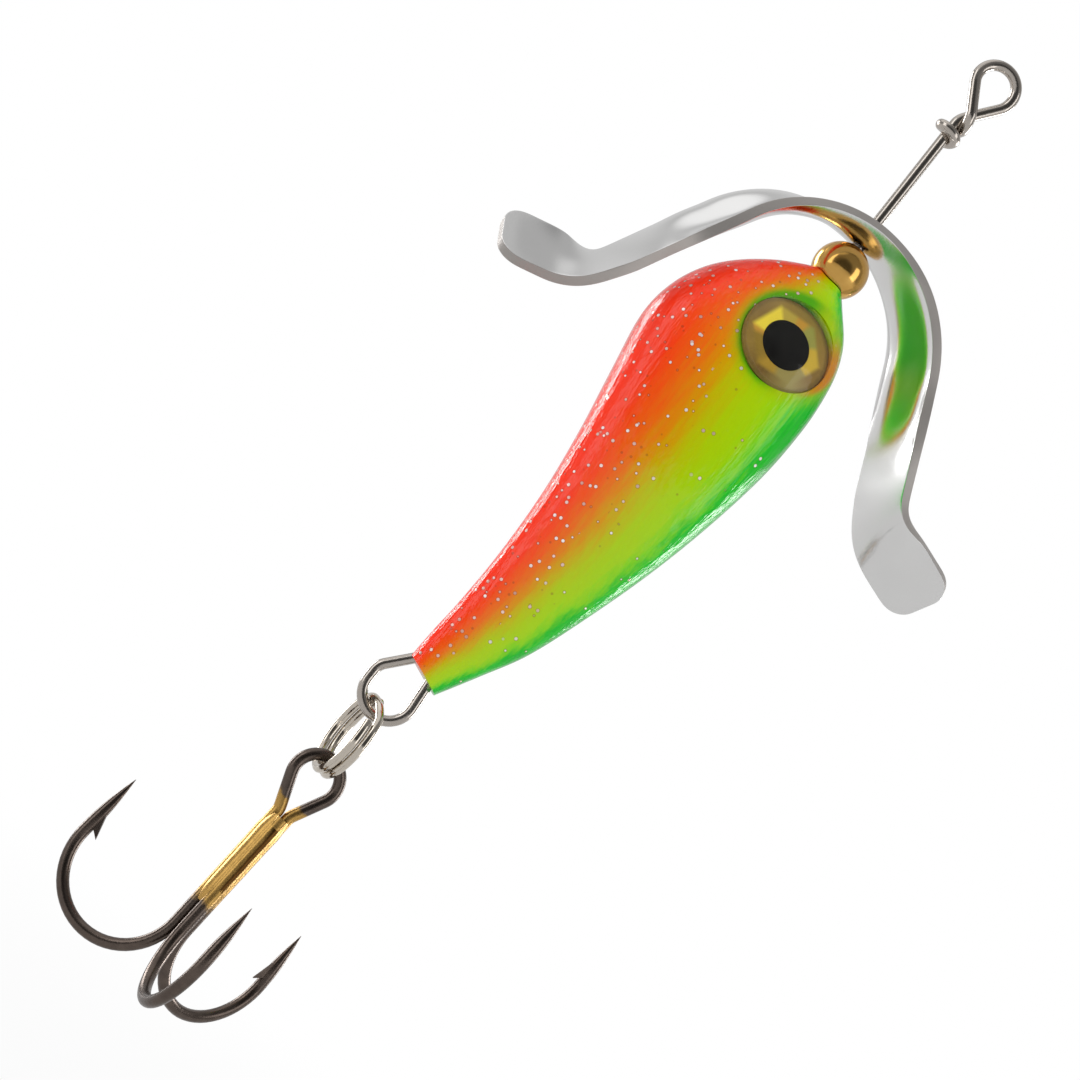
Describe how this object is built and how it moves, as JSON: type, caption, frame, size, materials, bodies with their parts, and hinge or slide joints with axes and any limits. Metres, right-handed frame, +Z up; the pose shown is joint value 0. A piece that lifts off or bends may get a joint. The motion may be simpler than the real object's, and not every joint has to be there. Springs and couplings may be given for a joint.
{
  "type": "propeller spinner lure",
  "caption": "In-line fishing lure with a painted cast minnow body, a bent propeller turning on a wire shaft over a brass bead, and a treble hook on a split ring.",
  "frame": {"origin": "on the shaft's axis at the middle of the line eye, where the line pulls", "axes": "+Z up the shaft from the hook toward the line, +X toward the belly, -Y out of the right flank that the picture shows"},
  "size_m": [0.0398, 0.0165, 0.0859],
  "materials": {
    "stainless_wire": "drawn stainless spring wire, bright",
    "nickel": "polished nickel plate",
    "brass": "polished brass",
    "body_paint": "gloss lacquer over paint with glitter, red-orange back to green belly",
    "eye_foil": "gold foil",
    "eye_pupil": "gloss black print",
    "eye_lens": "clear domed resin",
    "hook_wire": "black nickel plate with a bronze tone",
    "braze": "brazing brass, dull"
  },
  "bodies": {
    "lure": {"shaft_wire": "stainless_wire", "body": "body_paint", "right_eye_foil": "eye_foil", "right_eye_pupil": "eye_pupil", "right_eye_lens": "eye_lens", "left_eye_foil": "eye_foil", "left_eye_pupil": "eye_pupil", "left_eye_lens": "eye_lens", "tail_loop": "stainless_wire"},
    "bead": {"bead": "brass"},
    "propeller": {"propeller": "nickel"},
    "split_ring": {"split_ring": "nickel"},
    "hook": {"double_hook": "hook_wire", "single_hook": "hook_wire", "hook_braze": "braze"}
  },
  "joints": [
    {"name": "bead_slide", "type": "slide", "parent": "lure", "child": "bead", "axis": [0, 0, 1], "range_m": [0, 0.0078]},
    {"name": "propeller_spin", "type": "hinge", "parent": "bead", "child": "propeller", "pos_m": [0, 0, -0.0152], "axis": [0, 0, 1], "continuous": true},
    {"name": "ring_swing", "type": "hinge", "parent": "lure", "child": "split_ring", "pos_m": [-0.00636, 0, -0.06052], "axis": [1, 0, 0], "range_deg": [-75, 75]},
    {"name": "hook_swing", "type": "hinge", "parent": "split_ring", "child": "hook", "pos_m": [-0.00636, 0, -0.06621], "axis": [-0.2756, 0.9613, 0], "range_deg": [-75, 75]}
  ]
}
